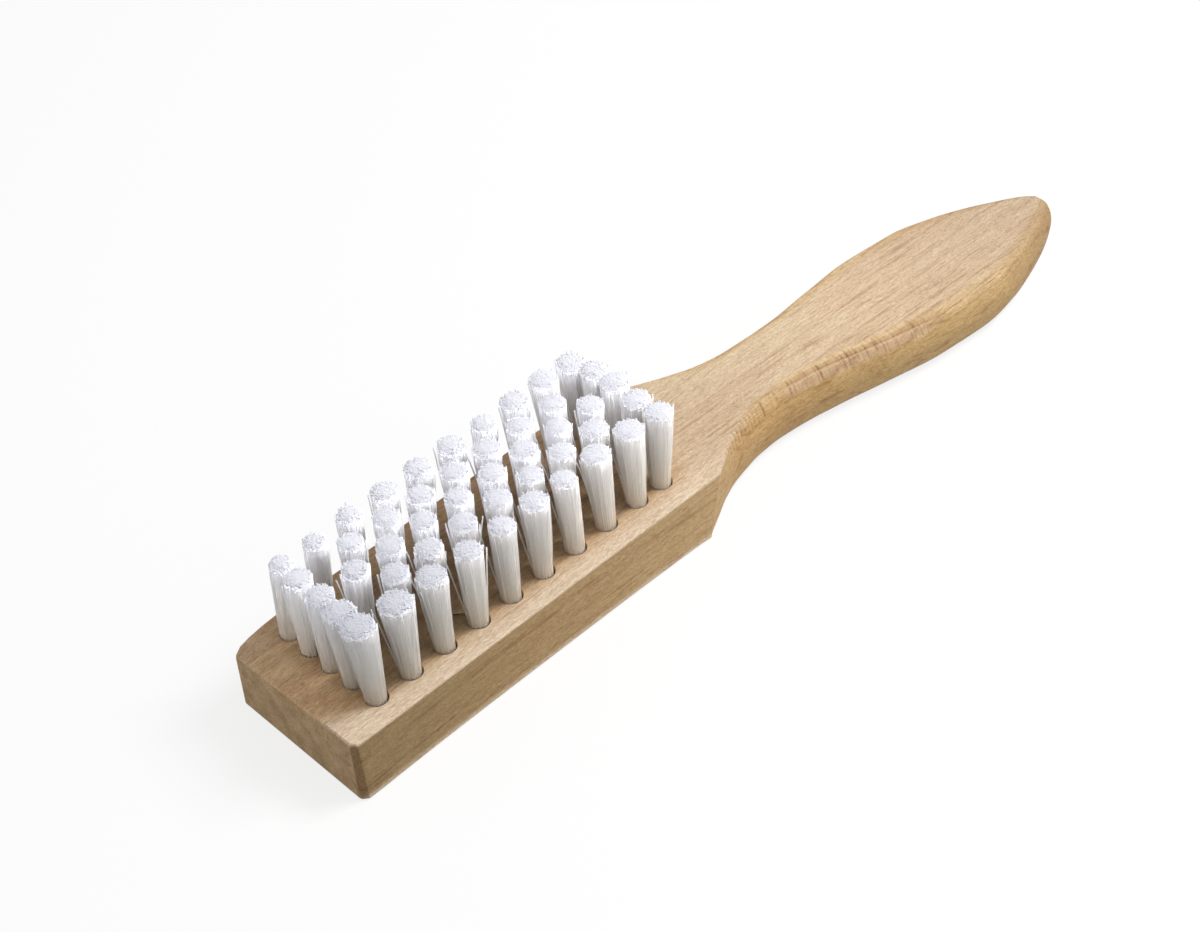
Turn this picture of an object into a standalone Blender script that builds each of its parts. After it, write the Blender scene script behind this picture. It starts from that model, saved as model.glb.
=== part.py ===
"""Spotting brush: one beech block and handle, with 48 nylon tufts set in drilled holes.

Metres, +Z up. The brush lies on its flat back with the bristles up. The origin is the
centre of the head's flat back, X runs towards the tip of the handle, Y across the head.
"""
import math

import bmesh
import bpy
from mathutils import Matrix, Vector

# Drilled holes: the wood left round them and between them
HOLE_DIAMETER = 0.0042
HOLE_FLOOR = 0.0051
COLUMN_WEB = 0.0040
LAST_COLUMN_WEB = 0.0024
FRONT_ROW_WEB = 0.00165
REAR_ROW_WEB = 0.00120
FRONT_MARGIN = 0.0104
REAR_MARGIN = 0.0090
SIDE_MARGIN = 0.0058

# Head
BLOCK_THICKNESS = 0.0136
HEAD_SIDE_FLARE = 0.00030
HEAD_END_FLARE = 0.00055
FRONT_TWIST = 0.0004
HEAD_EDGE_EASE = 0.0003
FRONT_CHAMFER = 0.0009
FRONT_CURVE_LENGTH = 0.0120
FRONT_CURVE_DEPTH = 0.0024

# Handle
HANDLE_LENGTH = 0.1123
HANDLE_WIDTH = 0.0296
HANDLE_CAST = 0.0072
HANDLE_EDGE_EASE = 0.0006
SIDE_BULGE = 0.0018
SHOULDER_SLANT = 0.0039
TIP_TOP_DROP = 0.0032
TIP_BACK_RISE = 0.0028
TIP_TOP_SETBACK = 0.0021
TIP_BACK_SETBACK = 0.0010

# Tufts
SEAT_CLEARANCE = 0.0003
TRIM_HEIGHT = 0.0181
TIP_GAP = 0.0003
STRAND_DIAMETER = 0.00095

COLUMNS = 10
ROWS = 5
RING_STRANDS = 7
HOLE_SIDES = 16
PLUG_SIDES = 12
STRAND_SIDES = 3
DRILL_POINT_ANGLE = math.radians(118.0)

# Stations along the handle, from the shoulder (0) to the tip (1), with the widths
# there as shares of the half width between the rounded sides
STATION_SHARES = (0.0, 0.039, 0.074, 0.127, 0.180, 0.233, 0.286, 0.365, 0.471, 0.594,
                  0.700, 0.790, 0.860, 0.915, 0.950, 0.975, 0.990, 1.0)
TOP_WIDTH_SHARES = (1.346, 1.150, 0.972, 0.803, 0.677, 0.631, 0.648, 0.719, 0.872, 0.994,
                    0.985, 0.828, 0.620, 0.420, 0.300, 0.215, 0.145, 0.069)
BACK_WIDTH_SHARES = (1.400, 1.200, 1.015, 0.800, 0.662, 0.612, 0.620, 0.672, 0.808, 0.958,
                     0.980, 0.850, 0.670, 0.492, 0.355, 0.230, 0.131, 0.030)
SLANT_SHARES = (1.0, 0.82, 0.64, 0.38, 0.15, 0.0, 0.0, 0.0, 0.0, 0.0,
                0.0, 0.0, 0.0, 0.0, 0.0, 0.0, 0.0, 0.0)
BULGE_SHARES = (0.0, 0.25, 0.55, 0.9, 1.0, 1.0, 1.0, 1.0, 1.0, 1.0,
                1.0, 1.0, 1.0, 1.0, 0.9, 0.75, 0.6, 0.4)
TOP_DROP_SHARES = (0.0, 0.0, 0.0, 0.01, 0.03, 0.06, 0.10, 0.18, 0.30, 0.42,
                   0.50, 0.58, 0.66, 0.74, 0.82, 0.89, 0.95, 1.0)
BACK_RISE_SHARES = (0.0, 0.0, 0.0, 0.0, 0.0, 0.0, 0.0, 0.0, 0.0, 0.01,
                    0.04, 0.10, 0.20, 0.36, 0.52, 0.70, 0.85, 1.0)
CAST_SHARES = (0.0, 0.0, 0.01, 0.08, 0.145, 0.208, 0.278, 0.403, 0.528, 0.639,
               0.743, 0.833, 0.889, 0.938, 0.962, 0.981, 0.992, 1.0)
NOSE_SHARES = (0.0, 0.0, 0.0, 0.0, 0.0, 0.0, 0.0, 0.0, 0.0, 0.0,
               0.0, 0.0, 0.05, 0.20, 0.45, 0.75, 0.92, 1.0)
# Front corners of the head: a long soft curve on one side, a small chamfer on the other
FRONT_ALONG_SHARES = (0.0, 0.075, 0.18, 0.4, 0.7, 1.0)
CURVE_IN_SHARES = (1.0, 0.85, 0.54, 0.29, 0.10, 0.0)
CHAMFER_IN_SHARES = (1.0, 0.1, 0.05, 0.0, 0.0, 0.0)
SIDE_POINT_SHARES = (0.15, 0.3, 0.5, 0.7, 0.85)

SECTIONS_PER_SPAN = 3
HEAD_SECTIONS = 6
BEECH_COLOUR = (0.62, 0.42, 0.22, 1.0)
BRISTLE_COLOUR = (0.86, 0.86, 0.88, 1.0)

# What follows from the sizes above
COLUMN_PITCH = HOLE_DIAMETER + COLUMN_WEB
LAST_COLUMN_PITCH = HOLE_DIAMETER + LAST_COLUMN_WEB
FRONT_ROW_PITCH = HOLE_DIAMETER + FRONT_ROW_WEB
REAR_ROW_PITCH = HOLE_DIAMETER + REAR_ROW_WEB
PATTERN_LENGTH = (COLUMNS - 2) * COLUMN_PITCH + LAST_COLUMN_PITCH
HEAD_LENGTH = FRONT_MARGIN + PATTERN_LENGTH + REAR_MARGIN
FRONT_X = -HEAD_LENGTH / 2
SHOULDER_X = HEAD_LENGTH / 2
FIRST_COLUMN_X = FRONT_X + FRONT_MARGIN
LAST_COLUMN_X = FIRST_COLUMN_X + PATTERN_LENGTH
HEAD_HALF_WIDTH = (ROWS - 1) * FRONT_ROW_PITCH / 2 + SIDE_MARGIN
HANDLE_FLAT_HALF = HANDLE_WIDTH / 2 - SIDE_BULGE
HOLE_RADIUS = HOLE_DIAMETER / 2
DRILL_POINT = HOLE_RADIUS / math.tan(DRILL_POINT_ANGLE / 2)
HOLE_WALL_END = HOLE_FLOOR + DRILL_POINT
ROOT_RADIUS = HOLE_RADIUS - SEAT_CLEARANCE
STRAND_RADIUS = STRAND_DIAMETER / 2


def clear_scene():
    for old in list(bpy.data.objects):
        bpy.data.objects.remove(old, do_unlink=True)


def make_collection(name):
    col = bpy.data.collections.new(name)
    bpy.context.scene.collection.children.link(col)
    return col


def make_material(name, colour, rough, metal=0.0):
    mat = bpy.data.materials.new(name)
    mat.use_nodes = True
    shader = mat.node_tree.nodes["Principled BSDF"]
    shader.inputs["Base Color"].default_value = colour
    shader.inputs["Roughness"].default_value = rough
    shader.inputs["Metallic"].default_value = metal
    mat.diffuse_color = colour
    return mat


def make_beech():
    return make_material("beech", BEECH_COLOUR, 0.62)


def make_nylon():
    return make_material("nylon_bristle", BRISTLE_COLOUR, 0.4)


def add_object(name, mesh, col, mat=None):
    obj = bpy.data.objects.new(name, mesh)
    col.objects.link(obj)
    if mat is not None:
        mesh.materials.append(mat)
    return obj


def slope_at(values, i):
    """Slope of a table at one station, limited so the curve never overshoots."""
    n = len(values)
    if i == 0 or i == n - 1:
        j = min(i, n - 2)
        return (values[j + 1] - values[j]) / (STATION_SHARES[j + 1] - STATION_SHARES[j])
    left = (values[i] - values[i - 1]) / (STATION_SHARES[i] - STATION_SHARES[i - 1])
    right = (values[i + 1] - values[i]) / (STATION_SHARES[i + 1] - STATION_SHARES[i])
    if left * right <= 0.0:
        return 0.0
    return 2.0 * left * right / (left + right)


def smooth(values, at):
    """A smooth curve through a table of values at the handle's stations."""
    k = 0
    while k < len(values) - 2 and at > STATION_SHARES[k + 1]:
        k += 1
    span = STATION_SHARES[k + 1] - STATION_SHARES[k]
    t = (at - STATION_SHARES[k]) / span
    start = (1 + 2 * t) * (1 - t) ** 2 * values[k]
    leave = t * (1 - t) ** 2 * span * slope_at(values, k)
    end = t * t * (3 - 2 * t) * values[k + 1]
    arrive = t * t * (t - 1) * span * slope_at(values, k + 1)
    return start + leave + end + arrive


def cast_at(x):
    """Sideways set of the handle's centre line."""
    share = (x - SHOULDER_X) / HANDLE_LENGTH
    if share <= 0.0:
        return 0.0
    return -HANDLE_CAST * smooth(CAST_SHARES, min(share, 1.0))


def side_points(top_half, back_half, bulge, ease, depth):
    """One side of a section, from the back up: how far out, and share of the height."""
    cut = min(ease, top_half / 2, back_half / 2)
    low = cut / depth
    points = [(back_half - cut, 0.0)]
    for share in [low] + list(SIDE_POINT_SHARES) + [1.0 - low]:
        out = back_half + (top_half - back_half) * share + bulge * 4.0 * share * (1.0 - share)
        points.append((out, share))
    points.append((top_half - cut, 1.0))
    return points


def flare_at(x):
    """How far the sides of the head lean out at the back, most at its two ends."""
    return HEAD_SIDE_FLARE + HEAD_END_FLARE * abs(x / SHOULDER_X) ** 3


def section(top_x, back_x, nose, near, far, bulge, top_z, back_z, ease):
    """One closed ring of points; near and far are the half widths at top and back."""
    depth = top_z - back_z
    ring = []
    for out, share in side_points(far[0], far[1], bulge, ease, depth):
        x = back_x + (top_x - back_x) * share + nose * 4.0 * share * (1.0 - share)
        ring.append((x, out + cast_at(x), back_z + depth * share))
    for out, share in reversed(side_points(near[0], near[1], bulge, ease, depth)):
        x = back_x + (top_x - back_x) * share + nose * 4.0 * share * (1.0 - share)
        ring.append((x, -out + cast_at(x), back_z + depth * share))
    return ring


def head_rings():
    rings = []
    near_in = [share * FRONT_CHAMFER for share in CHAMFER_IN_SHARES]
    far_in = [share * FRONT_CURVE_DEPTH for share in CURVE_IN_SHARES]
    near = HEAD_HALF_WIDTH - near_in[0] - HEAD_EDGE_EASE
    far = HEAD_HALF_WIDTH - far_in[0] - HEAD_EDGE_EASE
    flare = flare_at(FRONT_X)
    front = section(FRONT_X, FRONT_X, 0.0, (near, near + flare), (far, far + flare), 0.0,
                    BLOCK_THICKNESS - HEAD_EDGE_EASE, HEAD_EDGE_EASE, HEAD_EDGE_EASE)
    rings.append(twisted(front))
    for along, near_step, far_step in zip(FRONT_ALONG_SHARES, near_in, far_in):
        x = FRONT_X + max(along * FRONT_CURVE_LENGTH, HEAD_EDGE_EASE)
        near = HEAD_HALF_WIDTH - near_step
        far = HEAD_HALF_WIDTH - far_step
        flare = flare_at(x)
        ring = section(x, x, 0.0, (near, near + flare), (far, far + flare), 0.0,
                       BLOCK_THICKNESS, 0.0, HEAD_EDGE_EASE)
        if along == 0.0:
            ring = twisted(ring)
        rings.append(ring)
    for step in range(1, HEAD_SECTIONS):
        x = FRONT_X + FRONT_CURVE_LENGTH
        x += (SHOULDER_X - SHOULDER_SLANT - x) * step / HEAD_SECTIONS
        wide = (HEAD_HALF_WIDTH, HEAD_HALF_WIDTH + flare_at(x))
        rings.append(section(x, x, 0.0, wide, wide, 0.0, BLOCK_THICKNESS, 0.0,
                             HEAD_EDGE_EASE))
    return rings


def twisted(ring):
    """The sawn end stands forward at the back edge on one side, and back on the other."""
    out = []
    for x, y, z in ring:
        lean = FRONT_TWIST * (y / HEAD_HALF_WIDTH) * (1.0 - z / BLOCK_THICKNESS)
        out.append((x + lean, y, z))
    return out


def handle_shares():
    shares = []
    for a, b in zip(STATION_SHARES, STATION_SHARES[1:]):
        for j in range(SECTIONS_PER_SPAN):
            shares.append(a + (b - a) * j / SECTIONS_PER_SPAN)
    shares.append(STATION_SHARES[-1])
    return shares


def handle_rings():
    rings = []
    for share in handle_shares():
        x = SHOULDER_X + share * HANDLE_LENGTH
        nose = smooth(NOSE_SHARES, share)
        top_x = x - nose * TIP_TOP_SETBACK
        back_x = x - nose * TIP_BACK_SETBACK - smooth(SLANT_SHARES, share) * SHOULDER_SLANT
        nose_out = nose * (TIP_TOP_SETBACK + TIP_BACK_SETBACK) / 2
        top_half = smooth(TOP_WIDTH_SHARES, share) * HANDLE_FLAT_HALF
        back_half = smooth(BACK_WIDTH_SHARES, share) * HANDLE_FLAT_HALF
        if share == 0.0:
            top_half = HEAD_HALF_WIDTH
            back_half = HEAD_HALF_WIDTH + flare_at(x)
        grow = min(1.0, 4.0 * share / STATION_SHARES[1])
        ease = HEAD_EDGE_EASE + (HANDLE_EDGE_EASE - HEAD_EDGE_EASE) * grow
        rings.append(section(top_x, back_x, nose_out, (top_half, back_half),
                             (top_half, back_half), smooth(BULGE_SHARES, share) * SIDE_BULGE,
                             BLOCK_THICKNESS - smooth(TOP_DROP_SHARES, share) * TIP_TOP_DROP,
                             smooth(BACK_RISE_SHARES, share) * TIP_BACK_RISE, ease))
    return rings


def loft(name, rings):
    """Skin between rings of equal count, with a cap at each end."""
    bm = bmesh.new()
    loops = []
    for ring in rings:
        loops.append([bm.verts.new(point) for point in ring])
    n = len(rings[0])
    for a, b in zip(loops, loops[1:]):
        for i in range(n):
            j = (i + 1) % n
            bm.faces.new((a[i], a[j], b[j], b[i]))
    bm.faces.new(list(reversed(loops[0])))
    bm.faces.new(loops[-1])
    bmesh.ops.recalc_face_normals(bm, faces=bm.faces)
    bmesh.ops.triangulate(bm, faces=bm.faces)
    mesh = bpy.data.meshes.new(name)
    bm.to_mesh(mesh)
    bm.free()
    return mesh


def row_pitch_at(x):
    """The rows close up a little towards the handle."""
    run = (x - FIRST_COLUMN_X) / (LAST_COLUMN_X - FIRST_COLUMN_X)
    return FRONT_ROW_PITCH + (REAR_ROW_PITCH - FRONT_ROW_PITCH) * run


def hole_places():
    """Names and places of the holes: full rows, and staggered rows between them."""
    full = [FIRST_COLUMN_X + i * COLUMN_PITCH for i in range(COLUMNS - 1)]
    full.append(LAST_COLUMN_X)
    staggered = [full[0]]
    for a, b in zip(full[1:], full[2:-1]):
        staggered.append((a + b) / 2)
    staggered.append(full[-1])
    places = []
    for r in range(ROWS):
        across = r - (ROWS - 1) / 2
        columns = full if r % 2 == 0 else staggered
        for c, x in enumerate(columns):
            name = "tuft_row%d_%02d" % (r + 1, c + 1)
            places.append((name, x, across * row_pitch_at(x)))
    return places


def add_drill(bm, x, y):
    """One drill shape: a straight wall and a cone at the bottom."""
    top = BLOCK_THICKNESS + HOLE_RADIUS
    upper = []
    lower = []
    for i in range(HOLE_SIDES):
        turn = 2 * math.pi * i / HOLE_SIDES
        px = x + HOLE_RADIUS * math.cos(turn)
        py = y + HOLE_RADIUS * math.sin(turn)
        upper.append(bm.verts.new((px, py, top)))
        lower.append(bm.verts.new((px, py, HOLE_WALL_END)))
    tip = bm.verts.new((x, y, HOLE_FLOOR))
    for i in range(HOLE_SIDES):
        j = (i + 1) % HOLE_SIDES
        bm.faces.new((lower[i], lower[j], upper[j], upper[i]))
        bm.faces.new((tip, lower[j], lower[i]))
    bm.faces.new(upper)


def make_drills(cutters):
    bm = bmesh.new()
    for name, x, y in hole_places():
        add_drill(bm, x, y)
    bmesh.ops.recalc_face_normals(bm, faces=bm.faces)
    mesh = bpy.data.meshes.new("drills")
    bm.to_mesh(mesh)
    bm.free()
    obj = add_object("drills", mesh, cutters)
    obj.hide_render = True
    obj.display_type = 'WIRE'
    return obj


def make_body(parts, cutters):
    mesh = loft("beech_block_and_handle", head_rings() + handle_rings())
    body = add_object("beech_block_and_handle", mesh, parts, make_beech())
    mod = body.modifiers.new("drilled holes", 'BOOLEAN')
    mod.operation = 'DIFFERENCE'
    mod.solver = 'EXACT'
    mod.object = make_drills(cutters)
    return body


def add_prism(bm, low_centre, high_centre, radius, sides, turn):
    low = []
    high = []
    for i in range(sides):
        a = turn + 2 * math.pi * i / sides
        step = Vector((radius * math.cos(a), radius * math.sin(a), 0.0))
        low.append(bm.verts.new(low_centre + step))
        high.append(bm.verts.new(high_centre + step))
    for i in range(sides):
        j = (i + 1) % sides
        bm.faces.new((low[i], low[j], high[j], high[i]))
    bm.faces.new(list(reversed(low)))
    bm.faces.new(high)


def make_root_mesh():
    """The gripped root of a tuft, seated in its hole."""
    bottom = Vector((0.0, 0.0, HOLE_WALL_END + SEAT_CLEARANCE / 2))
    top = Vector((0.0, 0.0, BLOCK_THICKNESS))
    bm = bmesh.new()
    add_prism(bm, bottom, top, ROOT_RADIUS, PLUG_SIDES, 0.0)
    bmesh.ops.recalc_face_normals(bm, faces=bm.faces)
    mesh = bpy.data.meshes.new("tuft_root")
    bm.to_mesh(mesh)
    bm.free()
    return mesh


def make_strand_mesh():
    """The strands of a tuft: one in the middle and a ring round it, spreading upward."""
    bm = bmesh.new()
    start = Vector((0.0, 0.0, BLOCK_THICKNESS - STRAND_RADIUS))
    end = Vector((0.0, 0.0, BLOCK_THICKNESS + TRIM_HEIGHT))
    ring_low = ROOT_RADIUS - STRAND_RADIUS - STRAND_RADIUS / 8
    ring_high = (REAR_ROW_PITCH - TIP_GAP) / 2 - STRAND_RADIUS
    add_prism(bm, start, end, STRAND_RADIUS, STRAND_SIDES, 0.0)
    for i in range(RING_STRANDS):
        a = 2 * math.pi * i / RING_STRANDS
        out = Vector((math.cos(a), math.sin(a), 0.0))
        add_prism(bm, out * ring_low + start, out * ring_high + end,
                  STRAND_RADIUS, STRAND_SIDES, a)
    bmesh.ops.recalc_face_normals(bm, faces=bm.faces)
    mesh = bpy.data.meshes.new("tuft_strands")
    bm.to_mesh(mesh)
    bm.free()
    return mesh


def make_tuft_pattern(cutters):
    """Fuse root and strands once; every tuft is a turned copy of this mesh."""
    root = add_object("tuft_pattern", make_root_mesh(), cutters)
    strands = add_object("tuft_pattern_strands", make_strand_mesh(), cutters)
    mod = root.modifiers.new("fuse", 'BOOLEAN')
    mod.operation = 'UNION'
    mod.solver = 'EXACT'
    mod.object = strands
    bpy.context.view_layer.update()
    graph = bpy.context.evaluated_depsgraph_get()
    mesh = bpy.data.meshes.new_from_object(root.evaluated_get(graph))
    bpy.data.objects.remove(root, do_unlink=True)
    bpy.data.objects.remove(strands, do_unlink=True)
    mesh.materials.clear()
    return mesh


def make_tufts(parts, cutters):
    nylon = make_nylon()
    pattern = make_tuft_pattern(cutters)
    for k, (name, x, y) in enumerate(hole_places()):
        mesh = pattern.copy()
        mesh.name = name
        mesh.transform(Matrix.Rotation(k * 2 * math.pi / PLUG_SIDES, 4, 'Z'))
        tuft = add_object(name, mesh, parts, nylon)
        tuft.location = (x, y, 0.0)
    bpy.data.meshes.remove(pattern)


def main():
    clear_scene()
    parts = make_collection("spotting_brush")
    cutters = make_collection("cutters")
    make_body(parts, cutters)
    make_tufts(parts, cutters)


main()
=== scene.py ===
"""Looks of the spotting brush: sanded beech with tool marks, and white nylon tufts.

Sizes are in millimetres and become metres where a point or a node takes them. The front is
the end of the head away from the handle, -X, and the near side is -Y.
"""
import math

import bmesh
import bpy
import numpy as np
from mathutils import Matrix, Vector


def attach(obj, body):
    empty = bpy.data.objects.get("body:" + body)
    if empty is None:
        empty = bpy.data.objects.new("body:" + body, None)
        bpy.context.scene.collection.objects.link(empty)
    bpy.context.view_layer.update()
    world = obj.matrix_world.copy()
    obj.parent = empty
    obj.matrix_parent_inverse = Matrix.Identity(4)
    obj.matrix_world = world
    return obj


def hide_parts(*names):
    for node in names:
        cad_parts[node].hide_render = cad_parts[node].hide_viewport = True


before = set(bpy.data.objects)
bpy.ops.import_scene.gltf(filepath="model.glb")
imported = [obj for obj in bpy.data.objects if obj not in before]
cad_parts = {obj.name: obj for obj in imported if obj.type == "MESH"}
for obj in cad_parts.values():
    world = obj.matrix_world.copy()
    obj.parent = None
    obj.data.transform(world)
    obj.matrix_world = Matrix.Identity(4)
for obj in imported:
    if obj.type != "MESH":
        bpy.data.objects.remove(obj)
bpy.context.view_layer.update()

MM = 0.001

# Sizes of the wood and its holes, as in the part's source
COLUMNS = 10
ROWS = 5
HOLE_RADIUS = 2.1
HOLE_FLOOR = 5.1
DRILL_POINT_ANGLE = math.radians(118.0)
COLUMN_PITCH = 8.2
LAST_COLUMN_PITCH = 6.6
FRONT_ROW_PITCH = 5.85
REAR_ROW_PITCH = 5.40
FRONT_MARGIN = 10.4
REAR_MARGIN = 9.0
SIDE_MARGIN = 5.8
THICKNESS = 13.6
SIDE_FLARE = 0.30
END_FLARE = 0.55
FRONT_TWIST = 0.4
HEAD_EASE = 0.3
FRONT_CHAMFER = 0.9
FRONT_CURVE_LENGTH = 12.0
FRONT_CURVE_DEPTH = 2.4
HANDLE_LENGTH = 112.3
HANDLE_WIDTH = 29.6
HANDLE_CAST = 7.2
HANDLE_EASE = 0.6
EASE_GROWTH = 4.0
SIDE_BULGE = 1.8
SHOULDER_SLANT = 3.9
TIP_TOP_DROP = 3.2
TIP_BACK_RISE = 2.8
TIP_TOP_SETBACK = 2.1
TIP_BACK_SETBACK = 1.0
TRIM_HEIGHT = 18.1

PATTERN_LENGTH = (COLUMNS - 2) * COLUMN_PITCH + LAST_COLUMN_PITCH
HEAD_HALF_LENGTH = (FRONT_MARGIN + PATTERN_LENGTH + REAR_MARGIN) / 2
HEAD_HALF_WIDTH = (ROWS - 1) / 2 * FRONT_ROW_PITCH + SIDE_MARGIN
HANDLE_FLAT_HALF = HANDLE_WIDTH / 2 - SIDE_BULGE
TIP_X = HEAD_HALF_LENGTH + HANDLE_LENGTH

# Stations along the handle, from the shoulder (0) to the tip (1), and the shares there
STATIONS = (0.0, 0.039, 0.074, 0.127, 0.180, 0.233, 0.286, 0.365, 0.471, 0.594,
            0.700, 0.790, 0.860, 0.915, 0.950, 0.975, 0.990, 1.0)
TOP_WIDTH = (1.346, 1.150, 0.972, 0.803, 0.677, 0.631, 0.648, 0.719, 0.872, 0.994,
             0.985, 0.828, 0.620, 0.420, 0.300, 0.215, 0.145, 0.069)
BACK_WIDTH = (1.400, 1.200, 1.015, 0.800, 0.662, 0.612, 0.620, 0.672, 0.808, 0.958,
              0.980, 0.850, 0.670, 0.492, 0.355, 0.230, 0.131, 0.030)
SLANT = (1.0, 0.82, 0.64, 0.38, 0.15, 0.0, 0.0, 0.0, 0.0, 0.0,
         0.0, 0.0, 0.0, 0.0, 0.0, 0.0, 0.0, 0.0)
BULGE = (0.0, 0.25, 0.55, 0.9, 1.0, 1.0, 1.0, 1.0, 1.0, 1.0,
         1.0, 1.0, 1.0, 1.0, 0.9, 0.75, 0.6, 0.4)
TOP_DROP = (0.0, 0.0, 0.0, 0.01, 0.03, 0.06, 0.10, 0.18, 0.30, 0.42,
            0.50, 0.58, 0.66, 0.74, 0.82, 0.89, 0.95, 1.0)
BACK_RISE = (0.0, 0.0, 0.0, 0.0, 0.0, 0.0, 0.0, 0.0, 0.0, 0.01,
             0.04, 0.10, 0.20, 0.36, 0.52, 0.70, 0.85, 1.0)
CAST = (0.0, 0.0, 0.01, 0.08, 0.145, 0.208, 0.278, 0.403, 0.528, 0.639,
        0.743, 0.833, 0.889, 0.938, 0.962, 0.981, 0.992, 1.0)
NOSE = (0.0, 0.0, 0.0, 0.0, 0.0, 0.0, 0.0, 0.0, 0.0, 0.0,
        0.0, 0.0, 0.05, 0.20, 0.45, 0.75, 0.92, 1.0)
# Front corners of the head: a long soft curve on the far side, a small chamfer on the near
FRONT_ALONG = (0.0, 0.075, 0.18, 0.4, 0.7, 1.0)
CURVE_IN = (1.0, 0.85, 0.54, 0.29, 0.10, 0.0)
CHAMFER_IN = (1.0, 0.1, 0.05, 0.0, 0.0, 0.0)

# Points round one half of a section: shares of the side's height and of the flat's width
SIDE_SHARES = (0.10, 0.18, 0.28, 0.40, 0.52, 0.62, 0.70, 0.745, 0.775, 0.79, 0.805,
               0.83, 0.86, 0.89, 0.92, 0.95, 0.97)
FLAT_SHARES = (0.0, 0.45, 0.80, 0.90, 0.965)
ARC_STEPS = 3
# Where the rings of points stand: counts, and start, end and step of the even runs
HEAD_RINGS = 24
SHOULDER_RINGS = 8
COMB_RUN = (50.0, 66.6, 0.155)
TICK_RUN = (66.7, 108.4, 0.16)
PLAIN_RUN = (109.0, 140.0)
PLAIN_RINGS = 40
TIP_RINGS = 36
TIP_CROWDING = 1.5

# Cutter marks across the near arris of the handle: place along it, depth and half width
TICKS = ((65.6, 0.24, 0.24), (68.2, 0.08, 0.2), (69.6, 0.14, 0.2), (73.6, 0.20, 0.25),
         (74.7, 0.12, 0.18), (78.1, 0.08, 0.2), (81.4, 0.24, 0.24), (83.3, 0.09, 0.16),
         (87.0, 0.16, 0.17), (88.2, 0.19, 0.16), (89.2, 0.15, 0.15), (90.2, 0.19, 0.17),
         (91.3, 0.10, 0.15), (92.4, 0.17, 0.17), (94.6, 0.16, 0.17), (96.3, 0.08, 0.14),
         (99.0, 0.10, 0.18), (104.1, 0.20, 0.2), (106.9, 0.10, 0.18), (110.5, 0.07, 0.2))
TICK_LEANS = (0.4, 1.0)
TICK_LEVEL = 0.9
TICK_FEET = (0.76, 0.795, 0.83)
TICK_FADE = 0.06
TICK_DARKNESS = 4.5
# The run of even, close marks round the neck
COMB_START = 51.5
COMB_END = 65.5
COMB_PITCH = 1.17
COMB_LEAN = 1.5
COMB_DEPTH = 0.20
COMB_DARKNESS = 0.55
COMB_FADE = (0.66, 0.95)
COMB_REST = 0.05
COMB_SWELL = 0.6
# The long facet along the top of the side
FACET_START = 70.0
FACET_END = 112.0
FACET_RISE = 6.0
FACET_FALL = 8.0
FACET_FOOT = 0.79
FOOT_WAVES = ((0.012, 0.7), (0.008, 2.1))
FOOT_EDGE = (-0.01, 0.015)
FOOT_LINE = 0.014
ARRIS_BAND = (0.965, 0.985)
FACET_DEPTH = 0.10
FACET_LEAN = 1.1
FOOT_DARKNESS = 0.70
ARRIS_DARKNESS = 0.65
# The strip of torn fibres on the top, beside the near arris
TORN_FROM = 2.85
TORN_DEPTH = 0.05
TORN_WAVES = (5.3, 3.1)
ARRIS_DROP = 0.5
# The painted shade of the sides, which also dulls the highlight on the handle's arris and top
# edge: where it starts on the handle, and its shares there
SHADE_RUN = (52.0, 66.0)
ARRIS_SHADE = 0.65
TOP_SHADE = 0.5
FACET_SHADE = 0.5
SIDE_FADE = (0.80, 1.0)
TOP_FADE = (2.80, 2.97)

SHARP_ANGLE = math.radians(34.0)
LARGE_FACE_WEIGHT = 80


def smooth_step(a, b, v):
    t = np.clip((v - a) / (b - a), 0.0, 1.0)
    return t * t * (3 - 2 * t)


def bump_at(value, centre, half):
    return math.exp(-((value - centre) / half) ** 2)


def curve(table, at):
    """Smooth curve through a table at the handle's stations, never overshooting."""
    x = np.asarray(STATIONS)
    y = np.asarray(table, float)
    step = np.diff(y) / np.diff(x)
    slope = np.zeros(len(y))
    slope[0] = step[0]
    slope[-1] = step[-1]
    for i in range(1, len(y) - 1):
        if step[i - 1] * step[i] > 0.0:
            slope[i] = 2.0 * step[i - 1] * step[i] / (step[i - 1] + step[i])
    k = int(np.clip(np.searchsorted(x, at, side="right") - 1, 0, len(x) - 2))
    span = x[k + 1] - x[k]
    t = (at - x[k]) / span
    return ((1 + 2 * t) * (1 - t) ** 2 * y[k] + t * (1 - t) ** 2 * span * slope[k]
            + t * t * (3 - 2 * t) * y[k + 1] + t * t * (t - 1) * span * slope[k + 1])


def cast_at(x):
    """Sideways set of the handle's centre line."""
    share = (x - HEAD_HALF_LENGTH) / HANDLE_LENGTH
    if share <= 0.0:
        return 0.0
    return -HANDLE_CAST * curve(CAST, min(share, 1.0))


def flare_at(x):
    """How far the sides of the head lean out at the back, most at its two ends."""
    return SIDE_FLARE + END_FLARE * abs(x / HEAD_HALF_LENGTH) ** 3


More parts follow.
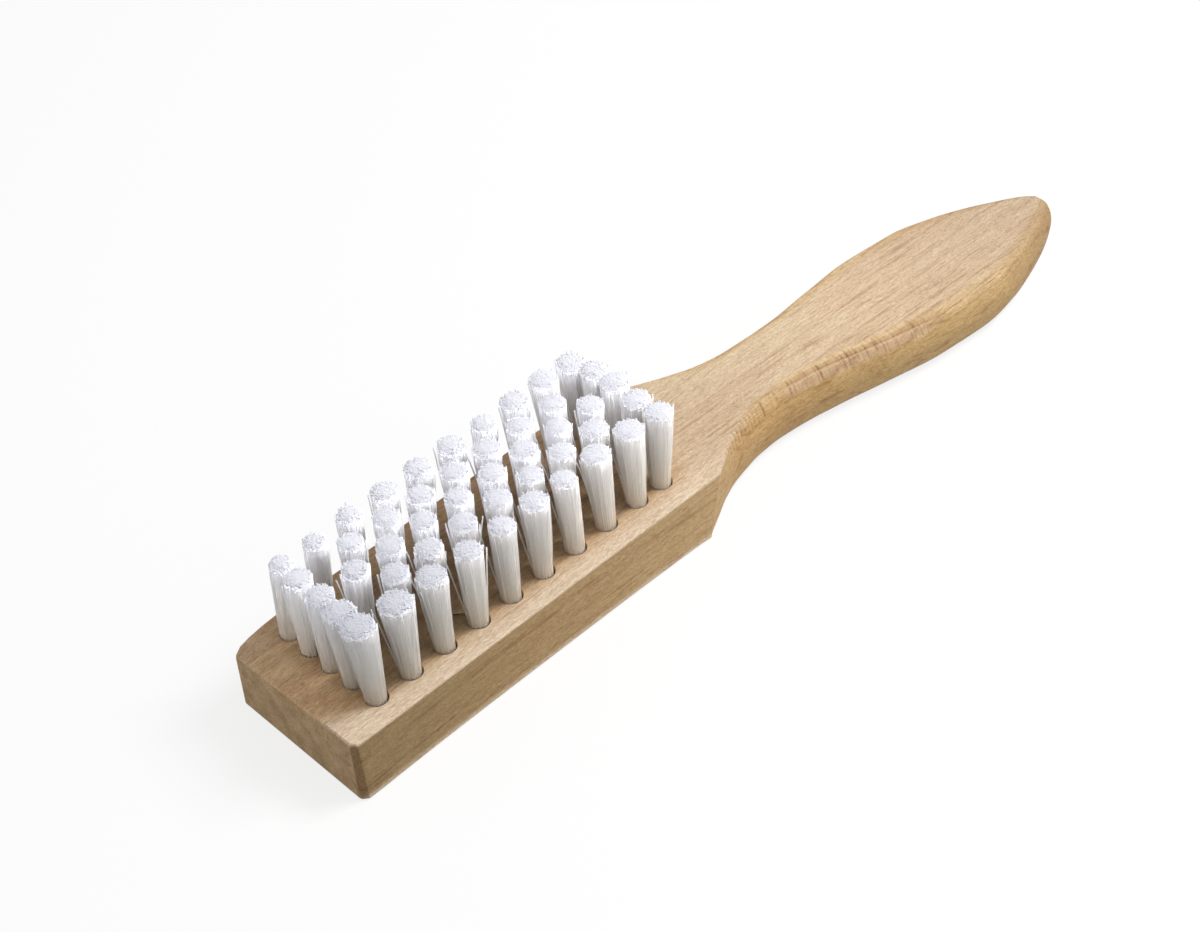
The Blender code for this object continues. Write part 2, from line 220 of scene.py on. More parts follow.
# The wood's skin
def half_profile(top_half, back_half, bulge, ease, depth):
    """Points from the middle of the back round to the middle of the top.

    Each has its place out, its share of the height and its kind: 0 on the back, the share
    of the height on the side, 1 on the top's edge, and 2 to 3 across the top.
    """
    cut = min(ease, top_half / 2, back_half / 2)
    low = cut / depth
    arc = [math.pi / 2 * i / ARC_STEPS for i in range(ARC_STEPS + 1)]
    points = [((back_half - cut) * share, 0.0, 0.0) for share in FLAT_SHARES]
    for a in arc:
        points.append((back_half - cut + cut * math.sin(a), low * (1 - math.cos(a)), 0.0))
    for share in SIDE_SHARES:
        s = low + (1 - 2 * low) * share
        out = back_half + (top_half - back_half) * s + bulge * 4.0 * s * (1.0 - s)
        points.append((out, s, s))
    for a in arc:
        points.append((top_half - cut + cut * math.cos(a), 1 - low + low * math.sin(a), 1.0))
    for share in reversed(FLAT_SHARES):
        points.append(((top_half - cut) * share, 1.0, 2.0 + share))
    return points


def ring(top_x, back_x, nose, near, far, bulge, top_z, back_z, ease):
    """One closed ring of x, y, z and kind, with the kind negative on the near side.

    near and far hold the half widths at the top and at the back.
    """
    depth = top_z - back_z
    points = []
    for sign, (top_half, back_half) in ((1.0, far), (-1.0, near)):
        half = half_profile(top_half, back_half, bulge, ease, depth)
        if sign < 0:
            half = half[::-1][1:-1]
        for y, s, kind in half:
            x = back_x + (top_x - back_x) * s + nose * 4.0 * s * (1.0 - s)
            points.append((x, sign * y + cast_at(x), back_z + depth * s, sign * kind))
    return points


def twisted(points):
    """The sawn end stands forward at the back edge on one side, and back on the other."""
    out = []
    for x, y, z, kind in points:
        out.append((x + FRONT_TWIST * y / HEAD_HALF_WIDTH * (1 - z / THICKNESS), y, z, kind))
    return out


def head_rings():
    stations = [(0.0, CHAMFER_IN[0], CURVE_IN[0], HEAD_EASE)]
    for along, near_in, far_in in zip(FRONT_ALONG, CHAMFER_IN, CURVE_IN):
        stations.append((max(along * FRONT_CURVE_LENGTH, HEAD_EASE), near_in, far_in, 0.0))
    rings = []
    for along, near_in, far_in, inset in stations:
        x = along - HEAD_HALF_LENGTH
        near = HEAD_HALF_WIDTH - near_in * FRONT_CHAMFER - inset
        far = HEAD_HALF_WIDTH - far_in * FRONT_CURVE_DEPTH - inset
        flare = flare_at(x)
        points = ring(x, x, 0.0, (near, near + flare), (far, far + flare), 0.0,
                      THICKNESS - inset, inset, HEAD_EASE)
        rings.append(twisted(points) if along <= HEAD_EASE else points)
    start = FRONT_CURVE_LENGTH - HEAD_HALF_LENGTH
    end = HEAD_HALF_LENGTH - SHOULDER_SLANT
    for x in np.linspace(start, end, HEAD_RINGS)[1:-1]:
        wide = (HEAD_HALF_WIDTH, HEAD_HALF_WIDTH + flare_at(x))
        rings.append(ring(x, x, 0.0, wide, wide, 0.0, THICKNESS, 0.0, HEAD_EASE))
    return rings


def handle_places():
    """Where the handle's rings stand: close together under the tool marks."""
    places = list(np.linspace(HEAD_HALF_LENGTH, COMB_RUN[0], SHOULDER_RINGS)[:-1])
    places += list(np.arange(*COMB_RUN))
    places += list(np.arange(*TICK_RUN))
    places += list(np.linspace(*PLAIN_RUN, PLAIN_RINGS))
    shares = np.linspace(1.0, 0.0, TIP_RINGS)[1:] ** TIP_CROWDING
    places += list(TIP_X - (TIP_X - PLAIN_RUN[1]) * shares)
    return places


def handle_rings():
    rings = []
    for x in handle_places():
        share = min((x - HEAD_HALF_LENGTH) / HANDLE_LENGTH, 1.0)
        nose = curve(NOSE, share)
        top_x = x - nose * TIP_TOP_SETBACK
        back_x = x - nose * TIP_BACK_SETBACK - curve(SLANT, share) * SHOULDER_SLANT
        nose_out = nose * (TIP_TOP_SETBACK + TIP_BACK_SETBACK) / 2
        top_half = curve(TOP_WIDTH, share) * HANDLE_FLAT_HALF
        back_half = curve(BACK_WIDTH, share) * HANDLE_FLAT_HALF
        if share == 0.0:
            top_half = HEAD_HALF_WIDTH
            back_half = HEAD_HALF_WIDTH + flare_at(x)
        grow = min(1.0, EASE_GROWTH * share / STATIONS[1])
        ease = HEAD_EASE + (HANDLE_EASE - HEAD_EASE) * grow
        wide = (top_half, back_half)
        rings.append(ring(top_x, back_x, nose_out, wide, wide,
                          curve(BULGE, share) * SIDE_BULGE,
                          THICKNESS - curve(TOP_DROP, share) * TIP_TOP_DROP,
                          curve(BACK_RISE, share) * TIP_BACK_RISE, ease))
    return rings


def tick_marks(x, s):
    """Depth and darkness of the single marks, which lean a little and fade down the side."""
    depth = 0.0
    dark = 0.0
    for k, (place, deep, half) in enumerate(TICKS):
        middle = place + (s - TICK_LEVEL) * TICK_LEANS[k % len(TICK_LEANS)]
        foot = TICK_FEET[k % len(TICK_FEET)]
        mark = bump_at(x, middle, half) * smooth_step(foot, foot + TICK_FADE, s)
        depth += deep * mark
        dark += min(1.0, deep * TICK_DARKNESS) * mark
    return depth, dark


def comb_marks(x, s):
    """Depth and darkness of the marks round the neck, deepest in the middle of the run."""
    if not COMB_START < x < COMB_END:
        return 0.0, 0.0
    run = (x - COMB_START) / (COMB_END - COMB_START)
    swell = math.sin(math.pi * (run * (1 - 2 * COMB_REST) + COMB_REST)) ** COMB_SWELL
    turn = 2 * math.pi * (x - (s - 1.0) * COMB_LEAN) / COMB_PITCH
    wave = 0.5 - 0.5 * math.cos(turn)
    reach = smooth_step(*COMB_FADE, s) * swell
    return COMB_DEPTH * wave ** 2 * reach, COMB_DARKNESS * wave ** 4 * reach


def facet_marks(x, s):
    """Depth, darkness and share of the long facet, whose foot wanders up and down."""
    along = smooth_step(FACET_START, FACET_START + FACET_RISE, x)
    along *= 1 - smooth_step(FACET_END - FACET_FALL, FACET_END, x)
    uneven = 0.5 + 0.5 * math.sin(x * 1.9) * math.sin(x * 0.83 + 1.0)
    foot = FACET_FOOT
    for size, pace in FOOT_WAVES:
        foot += size * math.sin(x * pace)
    shelf = smooth_step(foot + FOOT_EDGE[0], foot + FOOT_EDGE[1], s)
    depth = along * shelf * (FACET_DEPTH + FACET_LEAN * max(0.0, s - foot))
    dark = FOOT_DARKNESS * along * bump_at(s, foot, FOOT_LINE) * uneven
    dark += ARRIS_DARKNESS * along * smooth_step(*ARRIS_BAND, s) * (0.4 + 0.6 * uneven)
    return depth, dark, along * shelf


def tool_marks(x, s):
    """Depth, darkness and facet share of all the cutter's marks at a share of the height."""
    tick_depth, tick_dark = tick_marks(x, s)
    comb_depth, comb_dark = comb_marks(x, s)
    facet_depth, facet_dark, facet = facet_marks(x, s)
    depth = tick_depth + comb_depth + facet_depth
    return depth, min(1.0, tick_dark + comb_dark + facet_dark), facet


def side_shade(kind, x, facet):
    """Share of the sides' painted shade; on the handle it starts softly on the top's edge, where
    it dulls the arris's highlight.
    """
    height = abs(kind)
    handle = smooth_step(*SHADE_RUN, x)
    if height == 0.0:
        return 0.0
    if height < 1.0:
        softer = (1.0 - ARRIS_SHADE) * handle * smooth_step(*SIDE_FADE, height)
        return 1.0 - FACET_SHADE * facet - softer
    if height == 1.0:
        return ARRIS_SHADE * handle
    return TOP_SHADE * handle * smooth_step(*TOP_FADE, height)


def worked_point(x, y, z, kind):
    """The point after the cutter went over it, and its mark, facet, torn and side-shade shares."""
    dark = 0.0
    facet = 0.0
    torn = 0.0
    if -1.0 <= kind < 0.0 and x > COMB_START:
        depth, dark, facet = tool_marks(x, -kind)
        y += depth
        if kind == -1.0:
            z -= ARRIS_DROP * depth
    elif kind < -TORN_FROM and x > COMB_START:
        depth, _, torn = tool_marks(x, 1.0)
        y += depth
        wave = 0.5 + 0.5 * math.sin(x * TORN_WAVES[0]) * math.sin(x * TORN_WAVES[1])
        z -= TORN_DEPTH * wave * torn
    return (x * MM, y * MM, z * MM), (dark, facet, torn, side_shade(kind, x, facet))


def skin_faces(count, n):
    """Quads between rings of n points each, and strips of quads across the two ends."""
    faces = []
    for r in range(count - 1):
        for i in range(n):
            j = (i + 1) % n
            faces.append((r * n + i, r * n + j, (r + 1) * n + j, (r + 1) * n + i))
    for base, flip in ((0, True), ((count - 1) * n, False)):
        for i in range(n // 2):
            corners = (base + i, base + i + 1, base + (n - i - 1) % n, base + (n - i) % n)
            quad = list(dict.fromkeys(corners))
            if len(quad) > 2:
                faces.append(tuple(reversed(quad)) if flip else tuple(quad))
    return faces


def make_wood_mesh():
    rings = head_rings() + handle_rings()
    places = []
    shares = []
    for loop in rings:
        for point in loop:
            place, share = worked_point(*point)
            places.append(place)
            shares.append(share)
    mesh = bpy.data.meshes.new("beech_wood")
    mesh.from_pydata(places, [], skin_faces(len(rings), len(rings[0])))
    for name, values in zip(("mark", "facet", "torn", "side"), zip(*shares)):
        mesh.attributes.new(name, "FLOAT", "POINT").data.foreach_set("value", values)
    mesh.validate()
    bm = bmesh.new()
    bm.from_mesh(mesh)
    bmesh.ops.recalc_face_normals(bm, faces=bm.faces)
    bm.to_mesh(mesh)
    bm.free()
    return mesh


# The holes
DRILL_SIDES = 28
DRILL_THINNING = 0.02
# Levels of the hole's rounded rim, beside the face, and how much wider the hole is there
RIM_LEVELS = ((-0.35, 0.0), (-0.10, 0.05), (0.15, 0.28))


def hole_places():
    """Row, column and place of each hole: full rows, and staggered rows between them."""
    full = [-HEAD_HALF_LENGTH + FRONT_MARGIN + i * COLUMN_PITCH for i in range(COLUMNS - 1)]
    full.append(full[-1] + LAST_COLUMN_PITCH)
    between = [(a + b) / 2 for a, b in zip(full[1:], full[2:-1])]
    staggered = [full[0]] + between + [full[-1]]
    places = []
    for r in range(ROWS):
        for c, x in enumerate(full if r % 2 == 0 else staggered):
            run = (x - full[0]) / (full[-1] - full[0])
            pitch = FRONT_ROW_PITCH + (REAR_ROW_PITCH - FRONT_ROW_PITCH) * run
            places.append((r + 1, c + 1, x, (r - (ROWS - 1) / 2) * pitch))
    return places


def drill_levels():
    """Heights and radii of the drill's shape, from the end of its point upward."""
    point = HOLE_RADIUS / math.tan(DRILL_POINT_ANGLE / 2)
    levels = [(HOLE_FLOOR + point, HOLE_RADIUS - DRILL_THINNING)]
    for beside, wider in RIM_LEVELS:
        levels.append((THICKNESS + beside, HOLE_RADIUS + wider))
    return levels


def add_drill(bm, x, y):
    turns = [2 * math.pi * i / DRILL_SIDES for i in range(DRILL_SIDES)]
    loops = []
    for z, radius in drill_levels():
        loop = []
        for a in turns:
            place = ((x + radius * math.cos(a)) * MM, (y + radius * math.sin(a)) * MM, z * MM)
            loop.append(bm.verts.new(place))
        loops.append(loop)
    for a, b in zip(loops, loops[1:]):
        for i in range(DRILL_SIDES):
            j = (i + 1) % DRILL_SIDES
            bm.faces.new((a[i], a[j], b[j], b[i]))
    tip = bm.verts.new((x * MM, y * MM, HOLE_FLOOR * MM))
    for i in range(DRILL_SIDES):
        bm.faces.new((tip, loops[0][(i + 1) % DRILL_SIDES], loops[0][i]))
    bm.faces.new(loops[-1])


def make_drills():
    bm = bmesh.new()
    for _, _, x, y in hole_places():
        add_drill(bm, x, y)
    mesh = bpy.data.meshes.new("drills")
    bm.to_mesh(mesh)
    bm.free()
    return bpy.data.objects.new("drills", mesh)


def make_wood(material):
    obj = bpy.data.objects.new("beech_wood", make_wood_mesh())
    drills = make_drills()
    bpy.context.scene.collection.objects.link(obj)
    bpy.context.scene.collection.objects.link(drills)
    cut = obj.modifiers.new("holes", "BOOLEAN")
    cut.operation = "DIFFERENCE"
    cut.solver = "EXACT"
    cut.object = drills
    graph = bpy.context.evaluated_depsgraph_get()
    mesh = bpy.data.meshes.new_from_object(obj.evaluated_get(graph))
    obj.modifiers.clear()
    obj.data = mesh
    bpy.data.objects.remove(drills, do_unlink=True)
    mesh.materials.clear()
    mesh.materials.append(material)
    mesh.shade_smooth()
    mesh.set_sharp_from_angle(angle=SHARP_ANGLE)
    weigh = obj.modifiers.new("weigh", "WEIGHTED_NORMAL")
    weigh.keep_sharp = True
    weigh.weight = LARGE_FACE_WEIGHT
    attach(obj, "root")
    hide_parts("beech_block_and_handle")


# Nylon tufts
SEED_STEP = 1000
FILAMENT_SIDES = 5
FILAMENT_RADIUS = 0.145
THIN_RADIUS = FILAMENT_RADIUS * 0.9
ANY_TURN = 6.28
# The filaments open outward with the height to this power
OPENING = 1.12
# A tuft stands a little beside the middle of its hole
SHIFT_X = -0.10
SHIFT_Y = 0.10
SPREAD = 1.38
# Tufts that stand differently: lean along X, lean along Y, spread
ODD_TUFTS = {(1, 1): (-0.7, 1.0, 1.8), (2, 1): (-0.4, 0.3, 1.5), (5, 1): (0.3, -0.8, 1.2),
             (5, 2): (0.0, -0.8, 1.15), (1, 2): (-0.6, 0.3, 1.7), (1, 3): (-0.2, 0.3, 1.6),
             (1, 6): (-0.3, 0.3, 1.4), (1, 7): (-0.6, 0.4, 1.25), (1, 8): (-0.5, 0.5, 1.4),
             (1, 9): (-0.2, 0.2, 1.55), (5, 8): (-0.4, 0.3, 1.4), (5, 9): (-0.8, 0.6, 1.45),
             (5, 10): (-0.5, 0.5, 1.4), (4, 9): (0.9, 1.0, 1.35), (3, 10): (1.3, 1.0, 1.35),
             (1, 10): (0.7, -0.3, 1.45), (2, 9): (0.2, 0.1, 1.4), (5, 3): (0.2, -0.2, 1.25)}
LEAN_NOISE = (0.13, 0.10)
SPREAD_NOISE = 0.05

# The fluted skin of a tuft: its radius at the hole and its levels above the face
SHEATH_RADIUS = 1.76
SHEATH_LEVELS = (-1.5, 0.0, 2.5, 5.5, 9.0, 12.5, 15.0, 16.95)
FLUTE_POINTS = 4
FLUTE_PITCH = 0.30
FLUTE_RISE = 0.11
FLUTE_OUT_NOISE = 0.035
FLUTE_BOW_NOISE = 0.06
FLUTE_SWING_NOISE = 0.25
# Rings of the lid under the cap: share of the radius, and level
LID_RINGS = ((0.88, 17.35), (0.55, 17.75), (0.2, 17.85))

# The cap of cut filament ends
RIM_GAP = 0.02
LEAST_OUT = 0.01
RING_STEP = 0.245
CAP_OVERLAP = 1.72
CAP_DEPTH = 0.9
CAP_TUCK = 0.28
DOME_RISE = 0.15
DOME_DROP = 0.62
DOME_END = 1.2
PLACE_NOISE = (0.06, 0.015)
HEIGHT_NOISE = 0.05
RIM_HEIGHT_NOISE = 0.14
CUT_NOISE = 0.11
RIM_CUT_NOISE = 0.10
RADIUS_RANGE = (0.96, 1.08)

# Loose filaments round a tuft: levels above the face, and how far their tips wander
LOOSE_LEVELS = (-1.5, 1.5, 5.5, 10.0, 14.5, 18.1)
LOOSE_COUNT = 24
LOOSE_FOOT_GAP = 0.08
LOOSE_TIP_GAP = 0.1
CLOSE_SHARE = 0.8
CLOSE_NOISE = 0.18
WIDE_NOISE = 0.45
LOOSE_BOW_NOISE = 0.10
LOOSE_HEIGHT_NOISE = 0.30

# Single filaments that stray: row, column, where the tip stands beside the tuft's middle
STRAYS = ((1, 10, 4.1, -0.7), (1, 8, -4.0, 2.1), (1, 7, -3.2, 3.4), (1, 6, -4.2, 1.6),
          (1, 5, -3.4, 2.4), (1, 4, -4.4, 1.2), (1, 3, -3.0, 2.8), (2, 7, -4.2, 1.8),
          (2, 6, -3.5, 2.6), (2, 4, 3.6, -1.2), (3, 8, -4.0, 2.2), (2, 8, -3.0, 2.9),
          (3, 2, -3.8, 0.6), (5, 1, -2.2, -1.8), (1, 2, -3.6, 1.5), (4, 6, -3.4, 2.6),
          (2, 3, -3.2, 2.4), (1, 9, -3.6, 2.8), (5, 10, 2.9, 1.7), (4, 1, -3.0, 0.5))
STRAY_FOOT = 1.65
STRAY_BOW_NOISE = 0.25
STRAY_DROP = 0.09
# Filaments that lie down on the wood beside their tuft, with heights above the face
FALLEN = {(1, 9): ((29.9, -11.0, 3.0), (29.3, -11.2, 1.0), (28.4, -11.0, 0.35),
                   (26.6, -11.0, 0.25), (24.6, -11.7, 0.3)),
          (1, 10): ((36.4, -10.6, 2.4), (35.4, -10.8, 0.6), (34.4, -10.9, 0.25),
                    (33.2, -10.8, 0.3)),
          (1, 4): ((-10.2, -10.6, 2.6), (-10.9, -9.4, 0.7), (-11.6, -8.4, 0.3),
                   (-13.0, -7.2, 0.3))}


def dome_height(out, reach):
    """Height of the trimmed top above its mean level, at a distance out."""
    return DOME_RISE - DOME_DROP * min(out / reach, DOME_END) ** 3


def dome_slope(out, reach):
    return -3.0 * DOME_DROP * min(out / reach, DOME_END) ** 2 / reach


def opened(level):
    """Share of the way out, and share of the bow, at a level above the face."""
    t = max(level, 0.0) / TRIM_HEIGHT
    return t ** OPENING, 4.0 * t * (1.0 - t)


class Tuft:
    """One tuft: how it leans and spreads, its seeded random numbers and its mesh."""

    def __init__(self, row, column, x, y):
        self.key = (row, column)
        self.rng = np.random.default_rng(SEED_STEP * row + column)
        lean_x, lean_y, spread = ODD_TUFTS.get(self.key, (0.0, 0.0, SPREAD))
        self.lean_x = lean_x + self.rng.normal(0, LEAN_NOISE[0])
        self.lean_y = lean_y + self.rng.normal(0, LEAN_NOISE[1])
        self.spread = spread + self.rng.normal(0, SPREAD_NOISE)
        self.x = x + SHIFT_X
        self.y = y + SHIFT_Y
        self.top_x = self.x + self.lean_x
        self.top_y = self.y + self.lean_y
        self.reach = (SHEATH_RADIUS + RIM_GAP) * self.spread
        self.flutes = int(2 * math.pi * self.reach / FLUTE_PITCH)
        self.points = []
        self.faces = []
        self.smooth = []

    def point(self, x, y, z):
        self.points.append((x * MM, y * MM, z * MM))

    def face(self, corners, smooth):
        self.faces.append(tuple(corners))
        self.smooth.append(smooth)

    def join(self, below, above, count):
        """Quads between two rings of points."""
        for i in range(count):
            j = (i + 1) % count
            self.face((below + i, below + j, above + j, above + i), True)

    def add_filament(self, path, radius, tilt=(0.0, 0.0), turn=0.0):
        """One nylon filament: a fine tube along a path, with a slanting cut end."""
        for level, (x, y, z) in enumerate(path):
            start = len(self.points)
            last = level == len(path) - 1
            for i in range(FILAMENT_SIDES):
                a = turn + 2 * math.pi * i / FILAMENT_SIDES
                px = radius * math.cos(a)
                py = radius * math.sin(a)
                rise = (tilt[0] * px + tilt[1] * py) if last else 0.0
                self.point(x + px, y + py, z + rise)
            if level > 0:
                self.join(start - FILAMENT_SIDES, start, FILAMENT_SIDES)
        self.face(range(start, start + FILAMENT_SIDES), False)

    def add_sheath_ring(self, level, out_by, bow_by, swing):
        grown, bend = opened(level)
        for i in range(self.flutes):
            for p in range(FLUTE_POINTS):
                part = p / FLUTE_POINTS
                crest = math.sqrt(1.0 - (2.0 * part - 1.0) ** 2)
                a = 2 * math.pi * (i + part + swing[i] * bend * crest) / self.flutes
                radius = SHEATH_RADIUS * (1.0 + (self.spread - 1.0) * grown)
                radius += FLUTE_RISE * crest
                radius += (out_by[i] * grown + bow_by[i] * bend) * crest
                self.point(self.x + self.lean_x * grown + radius * math.cos(a),
                           self.y + self.lean_y * grown + radius * math.sin(a),
                           THICKNESS + level)

    def add_sheath(self):
        """The outer layer: the filaments side by side, as one fluted skin with a lid."""
        sides = self.flutes * FLUTE_POINTS
        out_by = self.rng.normal(0, FLUTE_OUT_NOISE, self.flutes)
        bow_by = self.rng.normal(0, FLUTE_BOW_NOISE, self.flutes)
        swing = self.rng.normal(0, FLUTE_SWING_NOISE, self.flutes)
        for k, level in enumerate(SHEATH_LEVELS):
            self.add_sheath_ring(level, out_by, bow_by, swing)
            if k > 0:
                self.join((k - 1) * sides, k * sides, sides)
        for share, level in LID_RINGS:
            start = len(self.points)
            radius = SHEATH_RADIUS * self.spread * share
            for i in range(sides):
                a = 2 * math.pi * i / sides
                self.point(self.top_x + radius * math.cos(a),
                           self.top_y + radius * math.sin(a), THICKNESS + level)
            self.join(start - sides, start, sides)
        self.face(range(start, start + sides), False)

    def cap_places(self):
        """Places of the cut ends beside the middle of the top, in rings."""
        places = [(0.0, 0.0)]
        rings = int(round(self.reach / RING_STEP))
        for k in range(1, rings):
            out = self.reach * k / rings
            count = int(2 * math.pi * out / (CAP_OVERLAP * FILAMENT_RADIUS))
            turn = self.rng.uniform(0, 2 * math.pi)
            for i in range(count):
                a = turn + 2 * math.pi * (i + self.rng.normal(0, PLACE_NOISE[0])) / count
                r = out + self.rng.normal(0, PLACE_NOISE[1])
                places.append((r * math.cos(a), r * math.sin(a)))
        for i in range(self.flutes):
            a = 2 * math.pi * (i + 0.5) / self.flutes
            places.append((self.reach * math.cos(a), self.reach * math.sin(a)))
        return places

    def add_cap(self):
        """The ends of the filaments, trimmed to a low dome."""
        rng = self.rng
        for bx, by in self.cap_places():
            out = max(math.hypot(bx, by), LEAST_OUT)
            slope = dome_slope(out, self.reach)
            rim = min(1.0, out / self.reach) ** 3
            top = THICKNESS + TRIM_HEIGHT + dome_height(out, self.reach)
            top += rng.normal(0, HEIGHT_NOISE + RIM_HEIGHT_NOISE * rim)
            x = self.top_x + bx
            y = self.top_y + by
            tuck = CAP_TUCK * rim / out
            path = ((x - bx * tuck, y - by * tuck, top - CAP_DEPTH), (x, y, top))
            wry = CUT_NOISE + RIM_CUT_NOISE * rim
            tilt = (slope * bx / out + rng.normal(0, wry), slope * by / out + rng.normal(0, wry))
            radius = FILAMENT_RADIUS * rng.uniform(*RADIUS_RANGE)
            self.add_filament(path, radius, tilt, rng.uniform(0, ANY_TURN))

    def bowed_path(self, foot, tip, bow, height):
        """From the foot in the hole to the tip, opening outward with a bow to one side."""
        path = []
        for level in LOOSE_LEVELS:
            grown, bend = opened(level)
            path.append((foot[0] + (tip[0] - foot[0]) * grown + bow[0] * bend,
                         foot[1] + (tip[1] - foot[1]) * grown + bow[1] * bend,
                         THICKNESS + (level if level < TRIM_HEIGHT else height)))
        return path

    def add_loose(self):
        """Single filaments round the skin, a few of which stand well off it."""
        rng = self.rng
        foot_out = SHEATH_RADIUS + LOOSE_FOOT_GAP
        tip_out = self.reach + LOOSE_TIP_GAP
        for i in range(LOOSE_COUNT):
            a = 2 * math.pi * (i + rng.uniform(0, 1)) / LOOSE_COUNT
            noise = CLOSE_NOISE if rng.random() < CLOSE_SHARE else WIDE_NOISE
            foot = (self.x + foot_out * math.cos(a), self.y + foot_out * math.sin(a))
            tip = (self.top_x + tip_out * math.cos(a) + rng.normal(0, noise),
                   self.top_y + tip_out * math.sin(a) + rng.normal(0, noise))
            bow = (rng.normal(0, LOOSE_BOW_NOISE), rng.normal(0, LOOSE_BOW_NOISE))
            out = math.hypot(tip[0] - self.top_x, tip[1] - self.top_y)
            height = TRIM_HEIGHT + dome_height(out, self.reach)
            height += abs(rng.normal(0, LOOSE_HEIGHT_NOISE))
            path = self.bowed_path(foot, tip, bow, height)
            self.add_filament(path, FILAMENT_RADIUS, turn=rng.uniform(0, ANY_TURN))

    def add_strays(self):
        """Filaments that lean far out, over the gap beside the tuft."""
        rng = self.rng
        for row, column, away_x, away_y in STRAYS:
            if (row, column) != self.key:
                continue
            away = math.hypot(away_x, away_y)
            foot = (self.x + STRAY_FOOT * away_x / away, self.y + STRAY_FOOT * away_y / away)
            tip = (self.x + away_x, self.y + away_y)
            bow = (rng.normal(0, STRAY_BOW_NOISE), rng.normal(0, STRAY_BOW_NOISE))
            height = TRIM_HEIGHT - STRAY_DROP * away * away / 2
            self.add_filament(self.bowed_path(foot, tip, bow, height), THIN_RADIUS)

    def add_fallen(self):
        if self.key in FALLEN:
            path = [(x, y, THICKNESS + up) for x, y, up in FALLEN[self.key]]
            self.add_filament(path, THIN_RADIUS)


def make_tuft(row, column, x, y, material):
    tuft = Tuft(row, column, x, y)
    tuft.add_sheath()
    tuft.add_cap()
    tuft.add_loose()
    tuft.add_strays()
    tuft.add_fallen()
    name = "bristles_row%d_%02d" % (row, column)
    mesh = bpy.data.meshes.new(name)
    mesh.from_pydata(tuft.points, [], tuft.faces)
    mesh.polygons.foreach_set("use_smooth", tuft.smooth)
    mesh.materials.append(material)
    obj = bpy.data.objects.new(name, mesh)
    bpy.context.scene.collection.objects.link(obj)
    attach(obj, "root")
    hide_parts("tuft_row%d_%02d" % (row, column))


# Materials
class Nodes:
    """Short calls for building the node tree of a material or of the world."""

    def __init__(self, owner):
        owner.use_nodes = True
        self.owner = owner
        self.tree = owner.node_tree

    def add(self, kind, **values):
        node = self.tree.nodes.new(kind)
        for key, value in values.items():
            setattr(node, key, value)
        return node

    def link(self, out, into):
        self.tree.links.new(out, into)

    def feed(self, socket, value):
        """Give a socket a number, a colour of three shares, or another node's output."""
        if isinstance(value, (int, float)):
            socket.default_value = value
        elif isinstance(value, tuple):
            socket.default_value = value + (1.0,)
        else:
            self.link(value, socket)

    def calc(self, operation, *values):
        node = self.add("ShaderNodeMath", operation=operation)
        for socket, value in zip(node.inputs, values):
            self.feed(socket, value)
        return node.outputs[0]

    def product(self, first, *others):
        for other in others:
            first = self.calc("MULTIPLY", first, other)
        return first

    def mix(self, factor, a, b, blend="MIX"):
        node = self.add("ShaderNodeMix", data_type="RGBA", blend_type=blend)
        for k, value in ((0, factor), (6, a), (7, b)):
            self.feed(node.inputs[k], value)
        return node.outputs[2]

    def axes(self, kind):
        """X, Y and Z of a texture coordinate."""
        node = self.add("ShaderNodeSeparateXYZ")
        self.link(self.add("ShaderNodeTexCoord").outputs[kind], node.inputs[0])
        return node.outputs

    def noise(self, scale, shift=(0, 0, 0), detail=2.0, rough=0.5, distort=0.0):
        """Noise in the object's own space, with its own scale along each axis."""
        place = self.add("ShaderNodeMapping")
        place.inputs["Scale"].default_value = scale
        place.inputs["Location"].default_value = shift
        self.link(self.add("ShaderNodeTexCoord").outputs["Object"], place.inputs["Vector"])
        node = self.add("ShaderNodeTexNoise")
        node.inputs["Scale"].default_value = 1.0
        node.inputs["Detail"].default_value = detail
        node.inputs["Roughness"].default_value = rough
        node.inputs["Distortion"].default_value = distort
        self.link(place.outputs["Vector"], node.inputs["Vector"])
        return node.outputs["Fac"]

    def ramp(self, factor, *stops):
        """A ramp through stops, each a place with a grey or a colour."""
        node = self.add("ShaderNodeValToRGB")
        elements = node.color_ramp.elements
        while len(elements) < len(stops):
            elements.new(0.5)
        for element, (at, value) in zip(elements, stops):
            element.position = at
            element.color = (value if isinstance(value, tuple) else (value,) * 3) + (1.0,)
        self.link(factor, node.inputs["Fac"])
        return node.outputs["Color"]

    def patches(self, scale, low, high, **noise):
        """Noise sharpened into patches: 0 up to the low value, 1 from the high one."""
        return self.ramp(self.noise(scale, **noise), (low, 0.0), (high, 1.0))

    def span(self, value, low, high, start=0.0, end=1.0):
        """From start at low to end at high, clamped; low may be the larger."""
        node = self.add("ShaderNodeMapRange")
        for name, number in (("From Min", low), ("From Max", high),
                             ("To Min", start), ("To Max", end)):
            node.inputs[name].default_value = number
        self.link(value, node.inputs["Value"])
        return node.outputs["Result"]

    def attribute(self, name):
        return self.add("ShaderNodeAttribute", attribute_name=name).outputs["Fac"]


class Painted(Nodes):
    """A material whose colour is laid on in layers."""

    def __init__(self, name):
        super().__init__(bpy.data.materials.new(name))
        self.shader = self.tree.nodes["Principled BSDF"]
        self.x, self.y, self.z = self.axes("Object")
        self.colour = None

    def between(self, axis, low, high):
        """0 where the axis passes the low place, 1 at the high one, in millimetres."""
        return self.span(axis, low * MM, high * MM)

    def cover(self, factor, colour):
        self.colour = self.mix(factor, self.colour, colour)

    def tint(self, factor, colour):
        self.colour = self.mix(factor, self.colour, colour, "MULTIPLY")

    def set(self, name, value):
        self.shader.inputs[name].default_value = value


